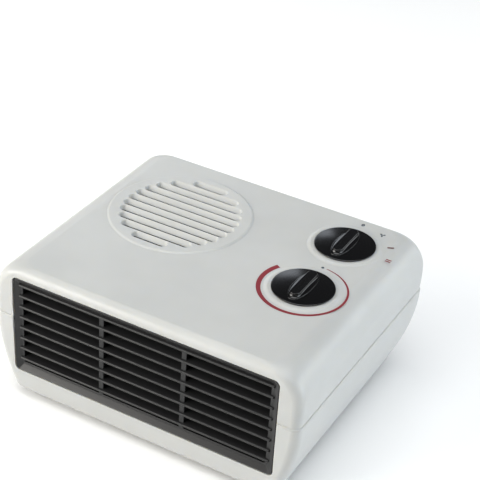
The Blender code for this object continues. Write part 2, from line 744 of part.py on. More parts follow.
def make_ribbon(name, heights):
    """Three runs of strip, one above the other, joined by a link at alternate ends."""
    left, right = DUCT_LEFT + 1.6, DUCT_RIGHT - 1.6
    half = RUN_HEIGHT / 2
    outline = ribbon_outline()
    ribbon = prism(name, outline, heights[0] - half, heights[0] + half, nichrome())
    for number, z in enumerate(heights[1:]):
        x = right - 1.4 if number % 2 == 0 else left - 0.2
        link = box("link", (x, RIBBON_Y - 0.9, heights[number]), (x + 1.6, RIBBON_Y + 0.9, z))
        join(ribbon, link)
        join(ribbon, prism("run", outline, z - half, z + half))
    return ribbon


def make_mica(name, x):
    plate = box(name, (x - 0.4, HEATER_FRONT + 2, HEATER_BOTTOM + 1 + GAP),
                (x + 0.4, HEATER_BACK - 2, SCROLL_TOP - 1 - GAP), mica())
    for z in run_heights():
        half = RUN_HEIGHT / 2 + 0.5
        cut(plate, box("hole", (x - 2, RIBBON_Y - 7.2, z - half), (x + 2, RIBBON_Y + 7.2, z + half)))
    return plate


def make_heater():
    left, right = DUCT_LEFT - 0.5, DUCT_RIGHT + 0.5
    frame = box("heater_frame", (left, HEATER_FRONT, HEATER_BOTTOM), (right, HEATER_BACK, SCROLL_TOP),
                steel())
    cut(frame, box("duct", (left + 1, HEATER_FRONT - 5, HEATER_BOTTOM + 1),
                   (right - 1, HEATER_BACK + 5, SCROLL_TOP - 1)))
    heights = run_heights()
    make_ribbon("heating_ribbon_lower", heights[:3])
    make_ribbon("heating_ribbon_upper", heights[3:])
    for name, x in (("left", DUCT_LEFT + 5), ("centre", (DUCT_LEFT + DUCT_RIGHT) / 2),
                    ("right", DUCT_RIGHT - 5)):
        make_mica(f"mica_support_{name}", x)
    side = right + GAP
    cutout = cylinder("thermal_cutout", (side, RIBBON_Y, 92.0), 8.0, 0.0, 6.5, 16, black_plastic(), "X")
    for offset in (-4.0, 4.0):
        low = (side + 5.5, RIBBON_Y + offset - 0.4, 89.0)
        join(cutout, box("tab", low, (side + 14, RIBBON_Y + offset + 0.4, 95.0)))
    fuse = [(0.0, -12.0), (0.5, -12.0), (0.5, -6.0), (2.0, -6.0), (2.0, 6.0), (0.5, 6.0),
            (0.5, 12.0), (0.0, 12.0)]
    turned("thermal_fuse", fuse, (side + 3, RIBBON_Y, 66.0), 8, steel())


# ---------------------------------------------------------------- wiring

def make_terminals():
    x, y = TERMINALS
    block = box("terminal_block", (x - 13, y - 8, 14.0), (x + 13, y + 8, 27.0), mica())
    for offset in (-8.6, 8.6):
        cut(block, cylinder("wire_way", (x + offset, y, 20.0), 1.9, -12, 12, 8, axis="Y"))
    cut(block, cylinder("screw_way", (x, y, 0), 1.8, 10, 30, 8))
    make_screw("terminal_screw", x, y, 27.0 + GAP, 8.5, 1.3, 2.6, 2.0)


def make_gland():
    """Bush in the back wall that the mains lead would pass through."""
    profile = [(4.0, -22.0), (7.0, -22.0), (7.0, -4.7), (9.5, -4.7), (9.5, -2.9), (8.0, -2.0), (4.0, -2.0)]
    back = (GLAND.x, HALF_DEPTH, GLAND.y)
    return turned("cord_gland", profile, back, 14, rubber(), "Y")


def make_lead(name, route, colour):
    """Insulated wire along a smooth curve through its own points."""
    curve = bpy.data.curves.new(name, "CURVE")
    curve.dimensions = "3D"
    curve.bevel_depth = 1.1 * MM
    curve.bevel_resolution = 1
    curve.use_fill_caps = True
    points = smooth_route(route, 4)
    line = curve.splines.new("POLY")
    line.points.add(len(points) - 1)
    for slot, point in zip(line.points, points):
        slot.co = (*(point * MM), 1.0)
    made = add_object(name, curve)
    curve.materials.append(material(name + "_insulation", colour, 0.5))
    return made


def smooth_route(route, steps):
    """Catmull-Rom curve through the route's points."""
    ends = [Vector(point) for point in route]
    ends = [2 * ends[0] - ends[1]] + ends + [2 * ends[-1] - ends[-2]]
    points = []
    for a, b, c, d in zip(ends, ends[1:], ends[2:], ends[3:]):
        for step in range(steps):
            t = step / steps
            curve = 2 * b + (c - a) * t + (2 * a - 5 * b + 4 * c - d) * t ** 2
            points.append((curve + (3 * b - a - 3 * c + d) * t ** 3) / 2)
    points.append(ends[-2])
    return points


def make_leads():
    tx, ty = TERMINALS
    sx, sy = SWITCH
    hx, hy = THERMOSTAT
    cutout = DUCT_RIGHT + 16.6
    make_lead("lead_live", [(tx + 8.6, ty + 10, 20), (tx + 12, ty + 19, 24), (tx + 26, ty + 24, 45),
                            (sx, sy + 13, 66), (sx, sy + 9, 74.6)], (0.25, 0.10, 0.04))
    make_lead("lead_neutral", [(tx - 8.6, ty - 10, 20), (tx - 14, ty - 20, 20), (24, 28, 24),
                               (15, 25.7, 30), (11, 25.7, 32)], (0.05, 0.12, 0.45))
    make_lead("lead_thermostat", [(sx, sy - 9, 74.6), (sx - 4, sy - 16, 66), (56, 20, 66),
                                  (52, -2, 78), (hx - 21, hy, 85.4)], (0.25, 0.10, 0.04))
    make_lead("lead_heater", [(hx - 21, hy, 89.2), (47, -14, 92), (42, -40, 88), (34, -64, 90),
                              (cutout + 2, RIBBON_Y + 4, 92)], (0.55, 0.52, 0.48))


# ---------------------------------------------------------------- assembly

def carry(axis_name, centre, names):
    """Hang moving pieces on an empty that stands on their axis."""
    axis = bpy.data.objects.new(axis_name, None)
    axis.location = Vector((*centre, 0.0)) * MM
    bpy.context.scene.collection.objects.link(axis)
    bpy.context.view_layer.update()
    for name in names:
        piece = bpy.data.objects[name]
        piece.parent = axis
        piece.matrix_parent_inverse = axis.matrix_world.inverted()


def soften():
    for piece in bpy.data.objects:
        if piece.type == "MESH":
            piece.data.shade_smooth()
            piece.data.set_sharp_from_angle(angle=math.radians(35))


def main():
    clear_scene()
    make_top_cover()
    make_bottom_cover()
    make_feet()
    make_case_screws()
    make_front_grille()
    make_knob("function_knob", SWITCH)
    make_knob("thermostat_knob", THERMOSTAT)
    make_switch()
    make_thermostat()
    make_control_screws()
    make_motor()
    make_fan()
    make_heater()
    make_terminals()
    make_gland()
    make_leads()
    carry("function_axis", SWITCH, ["function_knob", "switch_spindle"])
    carry("thermostat_axis", THERMOSTAT, ["thermostat_knob", "thermostat_spindle"])
    carry("fan_axis", INTAKE, ["fan_impeller", "fan_clip", "motor_shaft", "motor_rotor"])
    soften()


main()
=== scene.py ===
import math

import bmesh
import bpy
from mathutils import Matrix, Vector
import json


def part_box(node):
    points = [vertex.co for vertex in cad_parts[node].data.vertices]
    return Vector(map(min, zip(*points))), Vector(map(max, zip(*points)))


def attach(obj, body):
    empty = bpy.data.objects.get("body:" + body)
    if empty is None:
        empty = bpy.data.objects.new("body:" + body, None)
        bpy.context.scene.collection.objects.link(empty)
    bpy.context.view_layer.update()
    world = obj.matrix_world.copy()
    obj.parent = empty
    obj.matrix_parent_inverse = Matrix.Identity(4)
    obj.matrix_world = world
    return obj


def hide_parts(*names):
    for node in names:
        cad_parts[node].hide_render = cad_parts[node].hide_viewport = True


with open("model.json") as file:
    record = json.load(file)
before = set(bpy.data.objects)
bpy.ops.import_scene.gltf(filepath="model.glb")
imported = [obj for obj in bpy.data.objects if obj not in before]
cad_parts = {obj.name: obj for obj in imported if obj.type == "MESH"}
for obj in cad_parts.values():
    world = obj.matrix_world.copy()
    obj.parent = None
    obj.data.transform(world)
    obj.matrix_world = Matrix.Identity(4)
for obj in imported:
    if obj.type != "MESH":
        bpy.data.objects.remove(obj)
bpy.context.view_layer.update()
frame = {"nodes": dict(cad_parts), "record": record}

MM = 0.001

# Shape of the casing, in millimetres, as the solid model has it
WALL = 2.5
SEAM_CORNER = 7.0              # plan corner radius where the shells meet
TOP_CORNER = 14.0              # and at the flat top face
SIDE_ROUNDING = 22.5
FRONT_ROUNDING = 7.5
DRAFT = 0.6
BELLY_RADIUS = 138.0
FRONT_DRAFT = 1.5
FLOOR_ROUNDING = 8.0
LIP = 3.0
PLAY = 0.3
HEATER_RIBS = (-64.0, -22.0)                   # ribs under the heater, in x
VENTS = (-34, -24, -14, 14, 24, 34)            # slots in the base, in x from the shaft
FOOT_HOLE = 3.0                # radius, as of the bosses for the casing screws and their holes
UPPER_BOSS = 4.0
LOWER_BOSS = 5.0
SCREW_HOLE = 2.0
HEAD_BORE = 3.4
BRACKET_BAR = 2.0              # thickness of the motor bracket that rests on its posts
SEAM_EDGE = 0.8                # small rounding of each shell along the seam

INTAKE_RADIUS = 55.0
INTAKE_RISE = 1.0
SLOT_CIRCLE = 46.6
SLOT_COUNT = 11
SLOT_PITCH = 8.77
SLOT_WIDTH = 2.5               # at the bottom; the solid model has plain slots, 3.6 wide
SLOT_FLARE = 2.95              # width of the slope that turns the bars between the slots into ribs
SLOT_DEPTH = 3.3               # and its depth

BAND = 7.0                     # frame of the grille, with its bevel and its flange
BEVEL_END = 5.1
BEVEL_DEPTH = 2.2
SLAT_COUNT = 8
SLAT_TOP = 103.0               # the top one is half sunk in the frame
SLAT_PITCH = 9.2

PLATFORM_RADIUS = 27.0
PLATFORM_RISE = 0.8
WELL_RADIUS = 18.0
WELL_DEPTH = 3.0
SPINDLE_HOLE = 4.0
CONTROL_SCREWS = (-12, 12)     # holes for the two screws of each control, in x from its spindle

DISC_RISE = 2.3                # height of the knob's domed disc, and how much lower its edge is
DISC_FALL = 1.4
DISC_RIM = 1.5                 # width and height of the disc's rolled rim
RIM_DROP = 0.5

CROWN_HALF = 3.9               # the grip's crown: half its width, half its length, and its edge
CROWN_REACH = 16.6
CROWN_EDGE = 0.65
FOOT_HALF = 7.4                # its lens-shaped foot: half its width, half its length, and its edge
FOOT_REACH = 19.4
FOOT_EDGE = 0.35

SCALE_RADIUS = 33.7            # outer edge of the printed thermostat scale
MARK_RADIUS = 34.0             # middle of the printed switch marks
INK = 0.06                     # thickness of the print


# ---------------------------------------------------------------- sizes from the frame

def span(node):
    """Lowest and highest corner of a node, in millimetres."""
    low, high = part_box(node)
    return Vector(low) / MM, Vector(high) / MM


def at_floor(point):
    return Vector((point.x, point.y, 0))


def upright_axis(node):
    """Middle of a node, at floor level."""
    low, high = span(node)
    return at_floor((low + high) / 2)


def upright_axes(stem, count):
    return [upright_axis(f"{stem}_{number}") for number in range(1, count + 1)]


def joint_place(name):
    for joint in frame["record"]["behaviour"]["joints"]:
        if joint["name"] == name:
            return Vector(joint["pos_m"]) / MM
    raise ValueError(name)


cover_high = span("top_cover")[1]
base_low, base_high = span("bottom_cover")
grille_low, grille_high = span("front_grille")
knob_low, knob_high = span("function_knob")

BOSS_SPLIT = span("case_screw_1")[1].z - 18.0
SWITCH = joint_place("function_knob_turn")
THERMOSTAT = joint_place("thermostat_knob_turn")
INTAKE = joint_place("fan_spin")
HALF_WIDTH = cover_high.x
HALF_DEPTH = cover_high.y
TOP = SWITCH.z
SEAM = base_high.z - LIP
BASE = base_low.z
KNOB_RADIUS = (knob_high.x - knob_low.x) / 2
KNOB_TOP = knob_high.z - TOP


# ---------------------------------------------------------------- mesh helpers

def solid(name, points, faces):
    """Closed mesh from points in millimetres, with its faces turned outwards."""
    mesh = bpy.data.meshes.new(name)
    mesh.from_pydata([Vector(p) * MM for p in points], [], faces)
    work = bmesh.new()
    work.from_mesh(mesh)
    bmesh.ops.recalc_face_normals(work, faces=work.faces)
    work.to_mesh(mesh)
    work.free()
    made = bpy.data.objects.new(name, mesh)
    bpy.context.scene.collection.objects.link(made)
    return made


def skin_faces(rings, count, closed=False):
    faces = []
    total = rings if closed else rings - 1
    for level in range(total):
        low = level * count
        high = ((level + 1) % rings) * count
        for i in range(count):
            j = (i + 1) % count
            faces.append([low + i, low + j, high + j, high + i])
    return faces


def loft(name, rings):
    """Skin over rings of equal length, closed by a flat face at each end."""
    count = len(rings[0])
    points = [point for ring in rings for point in ring]
    faces = skin_faces(len(rings), count)
    faces.append(list(range(count))[::-1])
    faces.append([(len(rings) - 1) * count + i for i in range(count)])
    return solid(name, points, faces)


def hoop(name, rings):
    """Skin over rings whose last one joins the first, as on a frame."""
    count = len(rings[0])
    points = [point for ring in rings for point in ring]
    return solid(name, points, skin_faces(len(rings), count, closed=True))


def place_on(axis):
    return {
        "Z": lambda a, b, c: (a, b, c),
        "Y": lambda a, b, c: (a, c, b),
        "X": lambda a, b, c: (c, a, b),
    }[axis]


def prism(name, outline, low, high, axis="Z"):
    place = place_on(axis)
    return loft(name, [[place(a, b, level) for a, b in outline] for level in (low, high)])


def turned(name, profile, centre, segments, axis="Z"):
    """Profile of (radius, height) points spun round an axis through the centre."""
    place = place_on(axis)
    points = []
    rows = []
    for radius, height in profile:
        steps = 1 if radius == 0.0 else segments
        rows.append([len(points) + step for step in range(steps)])
        for step in range(steps):
            angle = math.tau * step / segments
            points.append(place(radius * math.cos(angle), radius * math.sin(angle), height))
    faces = []
    for row, following in zip(rows, rows[1:] + rows[:1]):
        if len(row) == 1 and len(following) == 1:
            continue
        for step in range(segments):
            after = (step + 1) % segments
            if len(row) == 1:
                faces.append([row[0], following[after], following[step]])
            elif len(following) == 1:
                faces.append([row[step], row[after], following[0]])
            else:
                faces.append([row[step], row[after], following[after], following[step]])
    points = [Vector(point) + Vector(centre) for point in points]
    return solid(name, points, faces)


def cylinder(name, centre, radius, low, high, segments=32, axis="Z"):
    profile = [(0.0, low), (radius, low), (radius, high), (0.0, high)]
    return turned(name, profile, centre, segments, axis)


def combine(target, tools, operation):
    """Boolean of the target with each tool in turn; the tools are used up."""
    for tool in tools:
        step = target.modifiers.new(operation.lower(), "BOOLEAN")
        step.object = tool
        step.operation = operation
        step.solver = "EXACT"
        view = bpy.context.evaluated_depsgraph_get()
        result = bpy.data.meshes.new_from_object(target.evaluated_get(view))
        target.modifiers.clear()
        target.data = result
        bpy.data.objects.remove(tool, do_unlink=True)
    work = bmesh.new()
    work.from_mesh(target.data)
    bmesh.ops.remove_doubles(work, verts=work.verts, dist=0.000004)
    bmesh.ops.dissolve_degenerate(work, edges=work.edges, dist=0.000004)
    work.to_mesh(target.data)
    work.free()
    return target


def join(target, *tools):
    return combine(target, tools, "UNION")


def cut(target, *tools):
    return combine(target, tools, "DIFFERENCE")


def merge(name, pieces):
    """One object from several that don't touch each other."""
    work = bmesh.new()
    for piece in pieces:
        work.from_mesh(piece.data)
        bpy.data.objects.remove(piece, do_unlink=True)
    mesh = bpy.data.meshes.new(name)
    work.to_mesh(mesh)
    work.free()
    made = bpy.data.objects.new(name, mesh)
    bpy.context.scene.collection.objects.link(made)
    return made


def smooth(piece, angle=38):
    """Smooth shading that keeps flat faces flat beside their rounded edges."""
    piece.data.shade_smooth()
    piece.data.set_sharp_from_angle(angle=math.radians(angle))
    even = piece.modifiers.new("even_normals", "WEIGHTED_NORMAL")
    even.keep_sharp = True
    even.weight = 80


def arc(start, end, steps):
    """Sine and cosine pairs along an arc in degrees."""
    for step in range(steps + 1):
        angle = math.radians(start + (end - start) * step / steps)
        yield math.sin(angle), math.cos(angle)


def rounded_outline(x0, x1, y0, y1, radius, steps=14):
    """Rectangle with rounded corners, anticlockwise."""
    centres = [(x1 - radius, y1 - radius), (x0 + radius, y1 - radius),
               (x0 + radius, y0 + radius), (x1 - radius, y0 + radius)]
    points = []
    for quarter, (cx, cy) in enumerate(centres):
        for up, across in arc(90 * quarter, 90 * quarter + 90, steps):
            points.append((cx + radius * across, cy + radius * up))
    return points


def capsule(cx, cy, half_length, half_width, steps=9):
    """Long slot along X with round ends."""
    reach = half_length - half_width
    points = []
    for end, start in ((1, -90), (-1, 90)):
        for up, across in arc(start, start + 180, steps):
            points.append((cx + end * reach + half_width * across, cy + half_width * up))
    return points


# ---------------------------------------------------------------- materials

def shader_of(name):
    made = bpy.data.materials.new(name)
    made.use_nodes = True
    return made, made.node_tree, made.node_tree.nodes["Principled BSDF"]


def grain(tree, scale):
    """Noise in the object's own metres."""
    place = tree.nodes.new("ShaderNodeTexCoord")
    noise = tree.nodes.new("ShaderNodeTexNoise")
    noise.inputs["Scale"].default_value = scale
    noise.inputs["Detail"].default_value = 2.0
    noise.inputs["Roughness"].default_value = 0.55
    tree.links.new(place.outputs["Object"], noise.inputs["Vector"])
    return noise.outputs["Fac"]


def remap(tree, value, low, high):
    ramp = tree.nodes.new("ShaderNodeMapRange")
    ramp.inputs["From Min"].default_value = 0.3
    ramp.inputs["From Max"].default_value = 0.7
    ramp.inputs["To Min"].default_value = low
    ramp.inputs["To Max"].default_value = high
    tree.links.new(value, ramp.inputs["Value"])
    return ramp.outputs["Result"]


def tint(tree, value, dark, light):
    mixer = tree.nodes.new("ShaderNodeMix")
    mixer.data_type = "RGBA"
    mixer.inputs["A"].default_value = (*dark, 1.0)
    mixer.inputs["B"].default_value = (*light, 1.0)
    tree.links.new(value, mixer.inputs["Factor"])
    return mixer.outputs["Result"]


def shaded(colour, factor):
    return tuple(min(1.0, channel * factor) for channel in colour)


def moulded_plastic(name, colour, roughness, texture=0.25, cell=2600.0, drift=0.03, gloss=0.5,
                    bleed=0.0):
    """Moulded plastic: spark-eroded grain, a faint drift of tone, and light that bleeds through."""
    made, tree, shader = shader_of(name)
    clouds = remap(tree, grain(tree, 22.0), 0.0, 1.0)
    colours = tint(tree, clouds, shaded(colour, 1 - drift), shaded(colour, 1 + drift))
    tree.links.new(colours, shader.inputs["Base Color"])
    fine = grain(tree, cell)
    tree.links.new(remap(tree, fine, roughness - 0.05, roughness + 0.05), shader.inputs["Roughness"])
    bump = tree.nodes.new("ShaderNodeBump")
    bump.inputs["Strength"].default_value = texture
    bump.inputs["Distance"].default_value = 0.00004
    tree.links.new(fine, bump.inputs["Height"])
    tree.links.new(bump.outputs["Normal"], shader.inputs["Normal"])
    shader.inputs["Specular IOR Level"].default_value = gloss
    shader.inputs["Subsurface Weight"].default_value = bleed
    shader.inputs["Subsurface Scale"].default_value = 0.003
    shader.inputs["Subsurface Radius"].default_value = (1.0, 0.85, 0.6)
    return made


def metal(name, colour, roughness, stretch=(1.0, 1.0, 1.0), scale=900.0, drift=0.15):
    """Metal with rolling or brushing marks drawn out along the short axis of the stretch."""
    made, tree, shader = shader_of(name)
    shader.inputs["Metallic"].default_value = 1.0
    place = tree.nodes.new("ShaderNodeTexCoord")
    drawn = tree.nodes.new("ShaderNodeMapping")
    drawn.inputs["Scale"].default_value = stretch
    noise = tree.nodes.new("ShaderNodeTexNoise")
    noise.inputs["Scale"].default_value = scale
    noise.inputs["Detail"].default_value = 4.0
    tree.links.new(place.outputs["Object"], drawn.inputs["Vector"])
    tree.links.new(drawn.outputs["Vector"], noise.inputs["Vector"])
    marks = noise.outputs["Fac"]
    tone = remap(tree, marks, 0.0, 1.0)
    tree.links.new(tint(tree, tone, shaded(colour, 1 - drift), colour), shader.inputs["Base Color"])
    tree.links.new(remap(tree, marks, roughness - 0.08, roughness + 0.12), shader.inputs["Roughness"])
    bump = tree.nodes.new("ShaderNodeBump")
    bump.inputs["Strength"].default_value = 0.2
    bump.inputs["Distance"].default_value = 0.00005
    tree.links.new(marks, bump.inputs["Height"])
    tree.links.new(bump.outputs["Normal"], shader.inputs["Normal"])
    return made


def layered(name, dark, light, pitch, axis, roughness, metallic=0.0):
    """Stacked sheets or wound wire: fine bands across one axis."""
    made, tree, shader = shader_of(name)
    place = tree.nodes.new("ShaderNodeTexCoord")
    bands = tree.nodes.new("ShaderNodeTexWave")
    bands.bands_direction = axis
    bands.inputs["Scale"].default_value = 1 / (pitch * MM) / 20 * math.pi
    bands.inputs["Distortion"].default_value = 0.3
    tree.links.new(place.outputs["Object"], bands.inputs["Vector"])
    tree.links.new(tint(tree, bands.outputs["Fac"], dark, light), shader.inputs["Base Color"])
    shader.inputs["Roughness"].default_value = roughness
    shader.inputs["Metallic"].default_value = metallic
    bump = tree.nodes.new("ShaderNodeBump")
    bump.inputs["Strength"].default_value = 0.6
    bump.inputs["Distance"].default_value = 0.0002
    tree.links.new(bands.outputs["Fac"], bump.inputs["Height"])
    tree.links.new(bump.outputs["Normal"], shader.inputs["Normal"])
    return made


CASING = moulded_plastic("casing_plastic", (0.435, 0.441, 0.433), 0.38, texture=0.35, bleed=0.5)
GRILLE = moulded_plastic("grille_plastic", (0.0075, 0.0075, 0.008), 0.36, drift=0.1, gloss=0.42)
KNOB = moulded_plastic("knob_plastic", (0.002, 0.002, 0.0024), 0.16, texture=0.04, drift=0.1)
RED_INK = moulded_plastic("red_ink", (0.175, 0.009, 0.017), 0.5, texture=0.4, drift=0.08)
DEEP_RED_INK = moulded_plastic("deep_red_ink", (0.09, 0.012, 0.016), 0.5, texture=0.4, drift=0.08)
DARK_INK = moulded_plastic("dark_ink", (0.035, 0.045, 0.06), 0.5, texture=0.4, drift=0.08)
RUBBER = moulded_plastic("rubber", (0.022, 0.022, 0.022), 0.75, 0.5, 1500.0, 0.12, gloss=0.3)
ZINC = metal("zinc_plate", (0.62, 0.63, 0.64), 0.32)
SHEET = metal("rolled_sheet", (0.55, 0.56, 0.57), 0.38, stretch=(0.06, 1.0, 1.0))
NICHROME = metal("heating_alloy", (0.36, 0.34, 0.33), 0.42, stretch=(1.0, 1.0, 0.1), drift=0.35)
STRIP = metal("blade_strip", (0.80, 0.55, 0.28), 0.3, stretch=(0.08, 1.0, 1.0))
BRONZE = metal("sintered_bronze", (0.55, 0.38, 0.20), 0.5, scale=2500.0)
STACK = layered("laminated_steel", (0.05, 0.05, 0.055), (0.30, 0.30, 0.31), 0.5, "Z", 0.45, 0.9)
WINDING = layered("enamelled_wire", (0.16, 0.05, 0.02), (0.62, 0.25, 0.12), 0.45, "Y", 0.3, 0.6)
MICA = layered("mica_board", (0.46, 0.38, 0.27), (0.62, 0.54, 0.42), 2.3, "DIAGONAL", 0.55)
IMPELLER = moulded_plastic("impeller_plastic", (0.085, 0.09, 0.095), 0.45)
SCROLL = moulded_plastic("scroll_plastic", (0.05, 0.052, 0.055), 0.5)
PHENOLIC = moulded_plastic("switch_phenolic", (0.075, 0.042, 0.026), 0.35, drift=0.15)
CUTOUT = moulded_plastic("cutout_phenolic", (0.02, 0.02, 0.02), 0.3, drift=0.1)
TERMINAL = moulded_plastic("terminal_plastic", (0.62, 0.58, 0.47), 0.4)
BROWN_WIRE = moulded_plastic("brown_insulation", (0.10, 0.035, 0.015), 0.35)
BLUE_WIRE = moulded_plastic("blue_insulation", (0.01, 0.05, 0.28), 0.35)
BRAID = layered("braided_sleeve", (0.45, 0.42, 0.36), (0.80, 0.77, 0.70), 0.9, "DIAGONAL", 0.7)


def finish(piece, material, body="root", nodes=()):
    """Give a new piece its material and its body, and let it stand for CAD nodes."""
    piece.data.materials.clear()
    piece.data.materials.append(material)
    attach(piece, body)
    if nodes:
        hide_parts(*nodes)
    return piece


# ---------------------------------------------------------------- casing

def edge_inset(depth, radius):
    """How far a quarter-round edge stands in, at a depth from its flat face."""
    if depth >= radius:
        return 0.0
    return radius - math.sqrt(radius ** 2 - (radius - depth) ** 2)


def rounding_depths(radius, steps):
    return [radius * (1 - pair[1]) for pair in arc(0, 90, steps)]


def upper_ring(depth, offset, tuck=0.0):
    """Level of the upper shell, at a depth under its top face, offset inwards."""
    z = TOP - offset - depth
    draft = DRAFT * (z - SEAM) / (TOP - SEAM)
    half_x = HALF_WIDTH - offset - draft - edge_inset(depth, SIDE_ROUNDING - offset) - tuck
    half_y = HALF_DEPTH - offset - draft - edge_inset(depth, FRONT_ROUNDING - offset) - tuck
    opened = (TOP_CORNER - SEAM_CORNER) * math.sqrt(min(depth / SIDE_ROUNDING, 1.0))
    outline = rounded_outline(-half_x, half_x, -half_y, half_y, TOP_CORNER - opened - offset - tuck)
    return [(x, y, z) for x, y in outline]


def lower_ring(z, offset, tuck=0.0):
    """Level of the lower shell, offset inwards."""
    depth = z - BASE
    drop = max(0.0, SEAM - max(z, BASE + FLOOR_ROUNDING))
    belly = BELLY_RADIUS - math.sqrt(BELLY_RADIUS ** 2 - drop ** 2)
    corner = 0.0
    if depth < 2 * FLOOR_ROUNDING:
        corner = edge_inset(max(depth - offset, 0.0), FLOOR_ROUNDING - offset)
    half_x = HALF_WIDTH - offset - belly - corner - tuck
    back = HALF_DEPTH - offset - belly - corner - tuck
    front = HALF_DEPTH - offset - corner - FRONT_DRAFT * drop / (SEAM - BASE) - tuck
    outline = rounded_outline(-half_x, half_x, -front, back, max(SEAM_CORNER - offset - tuck, 3.0))
    return [(x, y, z) for x, y in outline]


def outlet_cutter():
    """Opening for the grille, with a softened outer edge."""
    rings = []
    for up, across in arc(0, 90, 4):
        spread = PLAY + 0.6 * (1 - up)
        rings.append((spread, -HALF_DEPTH - 0.1 + 0.9 * (1 - across)))
    rings.insert(0, (PLAY + 0.6, -HALF_DEPTH - 6))
    rings.append((PLAY, grille_high.y))
    levels = []
    for spread, y in rings:
        outline = rounded_outline(grille_low.x - spread, grille_high.x + spread,
                                  grille_low.z - spread, grille_high.z + spread, 4.0 + spread, 8)
        levels.append([(x, y, z) for x, z in outline])
    return loft("outlet_cutter", levels)


def raised_disc(name, centre, radius, rise, width):
    """Round platform on the top face, with a soft ramp centred on its radius."""
    foot = TOP - 0.02
    outer = radius + width / 2
    profile = [(0.0, TOP - 1.5), (outer, TOP - 1.5), (outer, foot)]
    for step in range(1, 11):
        climb = 0.5 - 0.5 * math.cos(math.pi * step / 10)
        profile.append((outer - width * step / 10, foot + (TOP + rise - foot) * climb))
    profile.append((0.0, TOP + rise))
    return turned(name, profile, (centre.x, centre.y, 0), 144)


def slot_cutter(cx, cy, half_length):
    """One intake slot, flared at the top so that the bars between the slots are rounded."""
    crest = TOP + INTAKE_RISE
    half = SLOT_WIDTH / 2
    rings = [(half, TOP - 8)]
    for part in (0.0, 0.2, 0.4, 0.6, 0.75, 0.86, 0.94, 1.0):
        rings.append((half + SLOT_FLARE * part, crest - SLOT_DEPTH * (1 - part) ** 1.2))
    rings.append((half + SLOT_FLARE + 0.3, crest + 0.6))
    levels = []
    for width, z in rings:
        reach = half_length + 0.3 * (width - half)
        levels.append([(x, y, z) for x, y in capsule(cx, cy, reach, width)])
    return loft("slot", levels)


def make_upper_shell():
    depths = rounding_depths(SIDE_ROUNDING, 14) + rounding_depths(FRONT_ROUNDING, 7)[1:]
    depths = sorted(set(round(depth, 4) for depth in depths)) + [33.0]
    seam_depth = TOP - SEAM - PLAY / 2
    outer = [upper_ring(depth, 0.0) for depth in depths]
    for up, across in arc(90, 0, 3):
        outer.append(upper_ring(seam_depth - SEAM_EDGE * up, 0.0, SEAM_EDGE * (1 - across ** 0.5)))
    inner_depths = rounding_depths(SIDE_ROUNDING - WALL, 6) + [seam_depth - WALL]
    inner = [upper_ring(depth, WALL) for depth in inner_depths]
    shell = loft("upper_shell", inner + outer[::-1])
    join(shell, raised_disc("plateau", INTAKE, INTAKE_RADIUS - 0.4, INTAKE_RISE, 2.2))
    for axis in upright_axes("case_screw", 4):
        join(shell, cylinder("boss", axis, UPPER_BOSS, BOSS_SPLIT + PLAY, TOP - 1.2, 32))
        cut(shell, cylinder("pilot", axis, SCREW_HOLE, BOSS_SPLIT - 2, BOSS_SPLIT + 24, 16))
    for centre in (SWITCH, THERMOSTAT):
        axis = at_floor(centre)
        pad = cylinder("pad", axis, WELL_RADIUS + 3, TOP - 6, TOP - 1, 64)
        join(shell, raised_disc("platform", centre, PLATFORM_RADIUS, PLATFORM_RISE, 4.0), pad)
        cut(shell, cylinder("well", axis, WELL_RADIUS, TOP - WELL_DEPTH, TOP + 5, 64),
            cylinder("hole", axis, SPINDLE_HOLE, TOP - 9, TOP, 32))
        for side in CONTROL_SCREWS:
            cut(shell, cylinder("screw_hole", axis + Vector((side, 0, 0)), 1.8, TOP - 9, TOP, 16))
    cut(shell, outlet_cutter())
    for row in range(SLOT_COUNT):
        across = (row - (SLOT_COUNT - 1) / 2) * SLOT_PITCH
        reach = math.sqrt(SLOT_CIRCLE ** 2 - across ** 2) - 1.3
        cut(shell, slot_cutter(INTAKE.x, INTAKE.y + across, reach))
    smooth(finish(shell, CASING, nodes=["top_cover"]))


def add_post(shell, axis, radius, top, pilot, pilot_depth):
    """Post on the floor of the lower shell, with the hole for its screw."""
    join(shell, cylinder("post", axis, radius, BASE + 1, top, 32))
    cut(shell, cylinder("pilot", axis, pilot, top - pilot_depth, top + 5, 16))


def add_inner_posts(shell):
    """Posts and ribs that carry the motor, the scroll, the heater and the terminal block."""
    motor_foot = span("motor_bracket_lower")[1].z - BRACKET_BAR - PLAY
    for axis in upright_axes("motor_screw", 2):
        add_post(shell, axis, 4.5, motor_foot, 1.9, 8.2)
    scroll_foot = span("fan_scroll")[0].z - PLAY
    for axis in upright_axes("scroll_screw", 3):
        add_post(shell, axis, 4.0, scroll_foot, 1.7, 13.7)
    terminal_foot = span("terminal_block")[0].z - PLAY
    add_post(shell, upright_axis("terminal_screw"), 4.0, terminal_foot, 1.6, 6.2)
    low, high = span("heater_frame")
    for x in HEATER_RIBS:
        rib = rounded_outline(x - 1.5, x + 1.5, low.y + 2, high.y, 0.5, 2)
        join(shell, prism("rib", rib, BASE + 1, low.z - PLAY))


